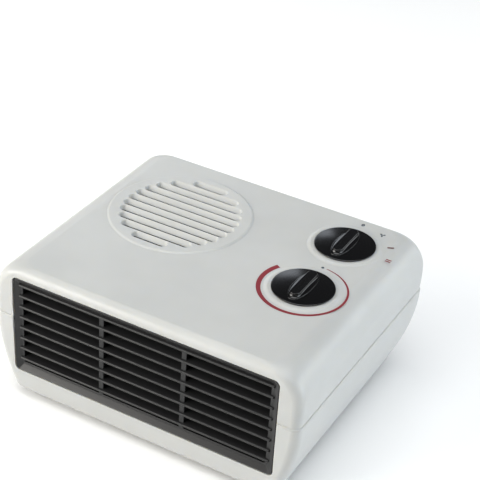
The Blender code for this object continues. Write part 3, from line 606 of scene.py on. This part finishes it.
def make_lower_shell():
    levels = [BASE + depth for depth in rounding_depths(FLOOR_ROUNDING, 8)]
    levels += [BASE + FLOOR_ROUNDING + 7.3 * step for step in range(1, 8)]
    rings = [lower_ring(z, 0.0) for z in levels]
    rim = SEAM - PLAY / 2
    for up, across in arc(0, 90, 3):
        rings.append(lower_ring(rim - SEAM_EDGE * (1 - up), 0.0, SEAM_EDGE * (1 - across ** 0.5)))
    tongue = WALL + PLAY + 0.1
    rings += [lower_ring(rim, tongue), lower_ring(SEAM + LIP, tongue)]
    rings += [lower_ring(SEAM + LIP, tongue + 1.5), lower_ring(SEAM - 5, tongue + 1.5)]
    rings += [lower_ring(z, WALL) for z in (SEAM - 8, 48, 34, 22, BASE + FLOOR_ROUNDING)]
    rings += [lower_ring(BASE + WALL + depth, WALL)
              for depth in rounding_depths(FLOOR_ROUNDING - WALL, 4)[3::-1]]
    shell = loft("lower_shell", rings)
    for axis in upright_axes("case_screw", 4):
        join(shell, cylinder("boss", axis, LOWER_BOSS, BASE + 2, BOSS_SPLIT, 32))
        cut(shell, cylinder("bore", axis, HEAD_BORE, 0, BOSS_SPLIT - 6, 32),
            cylinder("hole", axis, SCREW_HOLE, BOSS_SPLIT - 14, BOSS_SPLIT + 4, 16))
    add_inner_posts(shell)
    for axis in upright_axes("foot", 4):
        cut(shell, cylinder("foot_hole", axis, FOOT_HOLE, 0, BASE + 6, 24))
    for offset in VENTS:
        outline = [(y, x) for x, y in capsule(INTAKE.y, INTAKE.x + offset, 15.0, 1.6)][::-1]
        cut(shell, prism("vent", outline, 0, BASE + 6))
    gland_low, gland_high = span("cord_gland")
    gland = (gland_low + gland_high) / 2
    inlet = Vector((gland.x, HALF_DEPTH, gland.z))
    seat = [(0.0, -18.0), (11.0, -18.0), (11.0, -5.6), (10.4, -5.0), (0.0, -5.0)]
    join(shell, turned("inlet_seat", seat, inlet, 48, "Y"))
    cut(shell, cylinder("inlet_hole", inlet, 7.3, -25, 10, 48, "Y"), outlet_cutter())
    smooth(finish(shell, CASING, nodes=["bottom_cover"]))


# ---------------------------------------------------------------- grille

def make_grille():
    """Frame with a sunk bevel and an inner flange, and bars and louvres across it."""
    front, back = grille_low.y, grille_high.y
    sunk = front + BEVEL_DEPTH
    profile = [(0.0, back), (BAND, back)]
    for up, across in arc(90, 0, 3):
        profile.append((BAND - 0.5 * (1 - up), sunk + 0.5 * (1 - across)))
    profile.append((BEVEL_END, sunk))
    for up, across in arc(0, 90, 3):
        profile.append((0.7 * (1 - up) + 0.2, front + 0.7 * (1 - across)))
    profile.append((0.0, front + 1.2))
    rings = []
    for inset, y in profile:
        outline = rounded_outline(grille_low.x + inset, grille_high.x - inset, grille_low.z + inset,
                                  grille_high.z - inset, max(4.0 - inset, 1.2), 6)
        rings.append([(x, y, z) for x, z in outline])
    grille = hoop("outlet_grille", rings)
    bay = (grille_high.x - grille_low.x - 2 * BAND) / 3
    thick = [grille_bar(side * bay / 2, 2.0, sunk, back - 0.5) for side in (-1, 1)]
    thin = [grille_bar(number * bay / 6, 0.8, back - 2.2, back - 0.5) for number in (-7, -5, -1, 1, 5, 7)]
    join(grille, merge("bars", thick + thin))
    join(grille, merge("slats", [grille_slat(SLAT_TOP - SLAT_PITCH * row) for row in range(SLAT_COUNT)]))
    smooth(finish(grille, GRILLE, nodes=["front_grille"]))


def grille_bar(x, half, front, back):
    edge = min(0.5, half * 0.45)
    outline = rounded_outline(x - half, x + half, front, back, edge, 3)
    return prism("bar", outline, grille_low.z + 2, grille_high.z - 2)


def grille_slat(z):
    """Louvre that rises to the back, with a rounded nose and a thinner tail."""
    tilt = math.radians(22)
    middle = (grille_low.y + grille_high.y) / 2
    section = []
    for up, across in arc(90, 270, 8):
        section.append((-4.0 + 1.1 * across, 1.1 * up))
    section += [(4.6, -0.6), (4.6, 0.6)]
    outline = []
    for along, rise in section:
        y = middle + along * math.cos(tilt) - rise * math.sin(tilt)
        outline.append((y, z - 2.0 + along * math.sin(tilt) + rise * math.cos(tilt)))
    half = grille_high.x - BAND + 2.5
    return prism("slat", outline, -half, half, "X")


# ---------------------------------------------------------------- knobs

def dome(x, y):
    """Height of the knob's disc above the top face."""
    radius = math.hypot(x, y)
    return PLATFORM_RISE + PLAY + DISC_RISE - DISC_FALL * (radius / KNOB_RADIUS) ** 2


def lens(half_width, half_length, waist, squareness, count=120):
    """Long outline with blunt ends, wider in its middle."""
    outline = []
    for step in range(count):
        angle = math.tau * (step + 0.5) / count
        y = half_length * math.copysign(abs(math.sin(angle)) ** squareness, math.sin(angle))
        width = half_width * (1 - waist * (y / half_length) ** 2)
        x = width * math.copysign(abs(math.cos(angle)) ** squareness, math.cos(angle))
        outline.append((x, y))
    return outline


def crest(y):
    """Height of the grip's crown, which falls a little to both ends."""
    return KNOB_TOP - 0.0006 * y ** 2


def crown_edge(y):
    """Radius of the crown's edge, which is sharper at both ends."""
    return CROWN_EDGE * (1 - 0.6 * (y / CROWN_REACH) ** 8)


def make_grip():
    """Grip with a lens-shaped foot that runs out of the disc and hollows up to a long crown."""
    foot = lens(FOOT_HALF, FOOT_REACH, 0.30, 0.70)
    crown = []
    for x, y in foot:
        y *= CROWN_REACH / FOOT_REACH
        beyond = max(0.0, abs(y) - (CROWN_REACH - CROWN_HALF))
        crown.append((math.copysign(math.sqrt(max(CROWN_HALF ** 2 - beyond ** 2, 0.0)), x), y))
    rings = [[(x, y, dome(x, y) - 0.7) for x, y in foot]]
    for up, across in arc(0, 90, 4):
        inset = FOOT_EDGE * (1 - across)
        ledge = [(x * (1 - inset / FOOT_HALF), y * (1 - inset / FOOT_REACH)) for x, y in foot]
        rings.append([(x, y, dome(x, y) + FOOT_EDGE * up) for x, y in ledge])
    for step in range(1, 13):
        part = step / 12
        drawn_in = 1 - (1 - part) ** 2.0
        ring = []
        for (x0, y0), (x1, y1) in zip(ledge, crown):
            low = dome(x0, y0) + FOOT_EDGE
            high = crest(y1) - crown_edge(y1)
            ring.append((x0 + (x1 - x0) * drawn_in, y0 + (y1 - y0) * drawn_in,
                         low + (high - low) * part ** 1.8))
        rings.append(ring)
    for up, across in arc(15, 90, 5):
        ring = []
        for x, y in crown:
            inset = crown_edge(y) * (1 - across)
            ring.append((x * (1 - inset / CROWN_HALF), y * (1 - inset / CROWN_REACH),
                         crest(y) - crown_edge(y) * (1 - up)))
        rings.append(ring)
    count = len(foot)
    faces = skin_faces(len(rings), count)
    faces.append(list(range(count))[::-1])
    last = (len(rings) - 1) * count
    half = count // 2
    right = [step % count for step in range(-half // 2, half // 2)]
    for start, after in zip(right, right[1:]):
        left_after = (half - 1 - after) % count
        left_start = (half - 1 - start) % count
        faces.append([last + start, last + after, last + left_after, last + left_start])
    return solid("grip", [point for ring in rings for point in ring], faces)


def make_knob(name, node, body, centre):
    under = PLATFORM_RISE + PLAY
    profile = [(0.0, 2.5), (3.3, 2.5), (3.3, -2.4), (6.0, -2.4), (6.0, under), (KNOB_RADIUS - 0.3, under)]
    for up, across in arc(0, 90, 3):
        profile.append((KNOB_RADIUS - 0.3 + 0.3 * up, under + 0.3 - 0.3 * across))
    top = dome(KNOB_RADIUS - DISC_RIM, 0)
    for up, across in arc(0, 80, 6):
        profile.append((KNOB_RADIUS - DISC_RIM + DISC_RIM * across, top - RIM_DROP * (1 - up)))
    for step in range(1, 16):
        radius = (KNOB_RADIUS - DISC_RIM) * (1 - step / 15)
        profile.append((radius, dome(radius, 0)))
    knob = turned(name, profile, (0, 0, 0), 160)
    join(knob, make_grip())
    knob.data.transform(Matrix.Translation(centre * MM))
    smooth(finish(knob, KNOB, body, [node]), 50)


# ---------------------------------------------------------------- print

def polar(centre, radius, clockwise):
    """Point at a radius and an angle in degrees, clockwise from the back."""
    angle = math.radians(clockwise)
    return centre.x + radius * math.sin(angle), centre.y + radius * math.cos(angle)


def printed(name, outline, material):
    finish(prism(name, outline, TOP - 0.02, TOP + INK), material)


def make_thermostat_scale():
    """Red scale that widens as it goes round clockwise."""
    start, end = 5.0, 299.0
    outer = []
    inner = []
    steps = 120
    for step in range(steps + 1):
        part = step / steps
        angle = start + (end - start) * part
        width = 1.1 + 2.9 * part ** 1.3
        if part < 0.12:
            width *= 0.55 + 0.45 * part / 0.12
        middle = SCALE_RADIUS - 1.9
        outer.append(polar(THERMOSTAT, middle + width / 2, angle))
        inner.append(polar(THERMOSTAT, middle - width / 2, angle))
    printed("thermostat_scale", outer[::-1] + inner, RED_INK)
    x, y = polar(THERMOSTAT, SCALE_RADIUS - 1.9, -1.0)
    dot = [(x + 1.15 * across, y + 1.15 * up) for up, across in arc(0, 345, 23)]
    printed("thermostat_zero_dot", dot, DARK_INK)


def radial_bar(centre, clockwise, shift, half_width, half_length, radius=MARK_RADIUS):
    """Bar whose long side points at the knob's centre."""
    angle = math.radians(clockwise)
    out = Vector((math.sin(angle), math.cos(angle)))
    along = Vector((out.y, -out.x))
    middle = Vector((centre.x, centre.y)) + out * radius + along * shift
    corners = []
    for side, end in ((-1, -1), (1, -1), (1, 1), (-1, 1)):
        point = middle + along * side * half_width + out * end * half_length
        corners.append((point.x, point.y))
    return corners[::-1]


def make_switch_marks():
    x, y = polar(SWITCH, MARK_RADIUS, -2.0)
    ring = hoop("switch_mark_off", [
        [(x + radius * 0.75 * across, y + radius * up, z) for up, across in arc(0, 352.5, 47)]
        for radius, z in ((1.8, TOP - 0.02), (1.8, TOP + INK), (0.5, TOP + INK), (0.5, TOP - 0.02))])
    finish(ring, DARK_INK)
    blades = []
    cx, cy = polar(SWITCH, MARK_RADIUS, 30.0)
    for blade in range(3):
        turn = math.radians(120 * blade + 20)
        outline = []
        for up, across in arc(0, 345, 23):
            along = 1.35 + 1.05 * across
            side = 0.75 * up + 0.25 * along
            outline.append((cx + along * math.cos(turn) - side * math.sin(turn),
                            cy + along * math.sin(turn) + side * math.cos(turn)))
        blades.append(prism("blade", outline, TOP - 0.02, TOP + INK))
    fan = blades[0]
    join(fan, *blades[1:])
    fan.name = "switch_mark_fan"
    finish(fan, DARK_INK)
    printed("switch_mark_low", radial_bar(SWITCH, 60.0, 0.0, 0.6, 2.4), DEEP_RED_INK)
    for number, shift in enumerate((-1.15, 1.15), 1):
        bar = radial_bar(SWITCH, 90.0, shift, 0.5, 2.2, MARK_RADIUS + 1.2)
        printed(f"switch_mark_high_{number}", bar, RED_INK)


# ---------------------------------------------------------------- feet, screws and cord inlet

def make_feet():
    for number, axis in enumerate(upright_axes("foot", 4), 1):
        profile = [(0.0, 0.25), (5.0, 0.25), (5.2, 0.0), (7.0, 0.0)]
        for up, across in arc(0, 90, 4):
            profile.append((7.2 + 0.8 * up, 0.8 - 0.8 * across))
        profile += [(8.0, 3.5), (7.8, 3.7), (2.7, 3.7), (2.7, 6.8), (3.5, 7.2), (2.4, 8.9), (0.0, 8.9)]
        foot = turned(f"rubber_foot_{number}", profile, axis, 64)
        smooth(finish(foot, RUBBER, nodes=[f"foot_{number}"]), 40)


def cross_recess(axis, mouth, depth):
    """Tapered cross for a screwdriver, opening downwards at the mouth."""
    arms = []
    for turn in (20, 110):
        spin = Matrix.Rotation(math.radians(turn), 3, "Z")
        rings = []
        taper = ((2.0, 0.5, mouth - 0.5), (1.7, 0.42, mouth), (0.8, 0.3, mouth + depth))
        for half_long, half_wide, z in taper:
            corners = [(half_long, half_wide), (-half_long, half_wide),
                       (-half_long, -half_wide), (half_long, -half_wide)]
            rings.append([spin @ Vector((x, y, 0)) + Vector((axis.x, axis.y, z)) for x, y in corners])
        arms.append(loft("arm", rings))
    return arms


def make_case_screws():
    for number, axis in enumerate(upright_axes("case_screw", 4), 1):
        low, high = span(f"case_screw_{number}")
        head = low.z
        profile = [(0.0, head)]
        for up, across in arc(10, 90, 5):
            profile.append((3.0 * up, head + 1.0 * (1 - across)))
        profile += [(3.0, head + 2.4), (1.6, head + 2.4)]
        pitch = 1.3
        for turn in range(int((high.z - head - 4.5) / pitch)):
            z = head + 3.4 + turn * pitch
            profile += [(1.25, z), (1.6, z + 0.45), (1.25, z + 0.9)]
        profile += [(0.6, high.z), (0.0, high.z)]
        screw = turned(f"casing_screw_{number}", profile, axis, 40)
        cut(screw, *cross_recess(axis, head, 1.3))
        smooth(finish(screw, ZINC, nodes=[f"case_screw_{number}"]), 35)


def make_gland():
    low, high = span("cord_gland")
    inlet = Vector(((low.x + high.x) / 2, HALF_DEPTH, (low.z + high.z) / 2))
    profile = [(4.0, -22.0), (6.6, -22.0), (7.0, -21.5), (7.0, -4.7), (9.2, -4.7), (9.5, -4.4)]
    for up, across in arc(0, 90, 4):
        profile.append((8.6 + 0.9 * across, -3.3 + 0.5 * up))
    profile += [(8.0, -2.6), (7.8, -2.2), (7.4, -2.0), (4.9, -2.0), (4.3, -2.4), (4.0, -3.2)]
    gland = turned("cord_inlet_bush", profile, inlet, 64, "Y")
    smooth(finish(gland, RUBBER, nodes=["cord_gland"]), 40)


# ---------------------------------------------------------------- inner pieces keep their solids

INNER = {
    "motor_stator": STACK, "motor_rotor": STACK, "motor_coil": WINDING,
    "bearing_upper": BRONZE, "bearing_lower": BRONZE,
    "motor_bracket_upper": SHEET, "motor_bracket_lower": SHEET, "heater_frame": SHEET,
    "fan_impeller": IMPELLER, "fan_scroll": SCROLL,
    "switch_body": PHENOLIC, "thermostat_body": PHENOLIC, "thermal_cutout": CUTOUT,
    "mica_support_left": MICA, "mica_support_centre": MICA, "mica_support_right": MICA,
    "heating_ribbon_lower": NICHROME, "heating_ribbon_upper": NICHROME, "thermal_fuse": NICHROME,
    "thermostat_bimetal_blade": STRIP, "thermostat_contact_blade": STRIP,
    "terminal_block": TERMINAL, "lead_live": BROWN_WIRE, "lead_thermostat": BROWN_WIRE,
    "lead_neutral": BLUE_WIRE, "lead_heater": BRAID,
}


def paint_inner_nodes():
    for name, node in frame["nodes"].items():
        material = INNER.get(name, ZINC)
        if not node.material_slots:
            node.data.materials.append(material)
        for place in node.material_slots:
            place.material = material


# ---------------------------------------------------------------- stage

def make_cove():
    """Pale studio floor whose far edge rolls up into a low wall all round."""
    made, tree, shader = shader_of("pale_floor")
    clouds = remap(tree, grain(tree, 1.5), 0.0, 1.0)
    tree.links.new(tint(tree, clouds, (0.86, 0.86, 0.86), (0.88, 0.88, 0.88)), shader.inputs["Base Color"])
    shader.inputs["Roughness"].default_value = 0.7
    rings = [(radius, 0.0) for radius in (0.6, 1.4, 3.0, 4.0)]
    rings += [(4.0 + 1.2 * up, 1.2 - 1.2 * across) for up, across in arc(15, 90, 5)]
    steps = 96
    points = [(0.0, 0.0, 0.0)]
    for radius, height in rings:
        for step in range(steps):
            angle = math.tau * step / steps
            points.append((radius * math.cos(angle), radius * math.sin(angle), height))
    faces = [(0, 1 + step, 1 + (step + 1) % steps) for step in range(steps)]
    for level in range(len(rings) - 1):
        low = 1 + level * steps
        for step in range(steps):
            after = (step + 1) % steps
            faces.append((low + step, low + steps + step, low + steps + after, low + after))
    mesh = bpy.data.meshes.new("studio_cove")
    mesh.from_pydata(points, [], faces)
    mesh.shade_smooth()
    cove = bpy.data.objects.new("studio_cove", mesh)
    cove.data.materials.append(made)
    bpy.context.scene.collection.objects.link(cove)


def make_world():
    world = bpy.data.worlds.new("studio")
    world.use_nodes = True
    back = world.node_tree.nodes["Background"]
    back.inputs["Color"].default_value = (0.95, 0.97, 1.0, 1.0)
    back.inputs["Strength"].default_value = 0.09
    bpy.context.scene.world = world


def softbox(name, place, size, level, colour):
    """Rectangular light turned to the heater; level is the light that reaches it, in whites."""
    target = Vector((0.0, 0.0, 0.08))
    away = target - Vector(place)
    light = bpy.data.lights.new(name, "AREA")
    light.shape = "RECTANGLE"
    light.size, light.size_y = size
    light.energy = level * math.pi ** 2 * away.length_squared
    light.color = colour
    lamp = bpy.data.objects.new(name, light)
    lamp.location = place
    lamp.rotation_euler = away.to_track_quat("-Z", "Y").to_euler()
    lamp.visible_camera = False
    bpy.context.scene.collection.objects.link(lamp)


def make_lights():
    softbox("front_left_box", (-1.60, -1.45, 0.78), (1.9, 1.2), 1.38, (1.0, 0.975, 0.92))
    softbox("right_box", (2.04, 0.50, 0.66), (1.6, 1.0), 0.66, (0.87, 0.945, 1.0))
    softbox("overhead_box", (0.1, -0.3, 2.1), (2.2, 2.2), 1.08, (0.99, 1.0, 1.0))
    softbox("back_left_box", (-1.32, 1.66, 0.88), (1.05, 0.7), 0.098, (0.86, 0.92, 1.0))
    softbox("back_right_box", (1.38, 1.62, 0.72), (0.9, 0.8), 0.13, (0.93, 0.97, 1.0))


def make_camera():
    """Camera to the front right of the heater and above it, slightly rolled."""
    azimuth, elevation, roll = (math.radians(angle) for angle in (27.505, 32.751, 3.912))
    back = Vector((math.sin(azimuth) * math.cos(elevation), -math.cos(azimuth) * math.cos(elevation),
                   math.sin(elevation)))
    right = Vector((math.cos(azimuth), math.sin(azimuth), 0.0))
    up = back.cross(right)
    turned_right = right * math.cos(roll) + up * math.sin(roll)
    turned_up = up * math.cos(roll) - right * math.sin(roll)
    lens_data = bpy.data.cameras.new("camera")
    lens_data.sensor_width = 36.0
    lens_data.lens = 107.67
    camera = bpy.data.objects.new("camera", lens_data)
    turn = Matrix((turned_right, turned_up, back)).transposed().to_4x4()
    camera.matrix_world = Matrix.Translation((0.41907, -0.76984, 0.68756)) @ turn
    bpy.context.scene.collection.objects.link(camera)
    bpy.context.scene.camera = camera
    bpy.context.scene.view_settings.view_transform = "Standard"


# ---------------------------------------------------------------- build

paint_inner_nodes()
make_upper_shell()
make_lower_shell()
make_grille()
make_knob("switch_knob", "function_knob", "function_control", SWITCH)
make_knob("thermostat_dial_knob", "thermostat_knob", "thermostat_control", THERMOSTAT)
make_thermostat_scale()
make_switch_marks()
make_feet()
make_case_screws()
make_gland()
make_cove()
make_world()
make_lights()
make_camera()
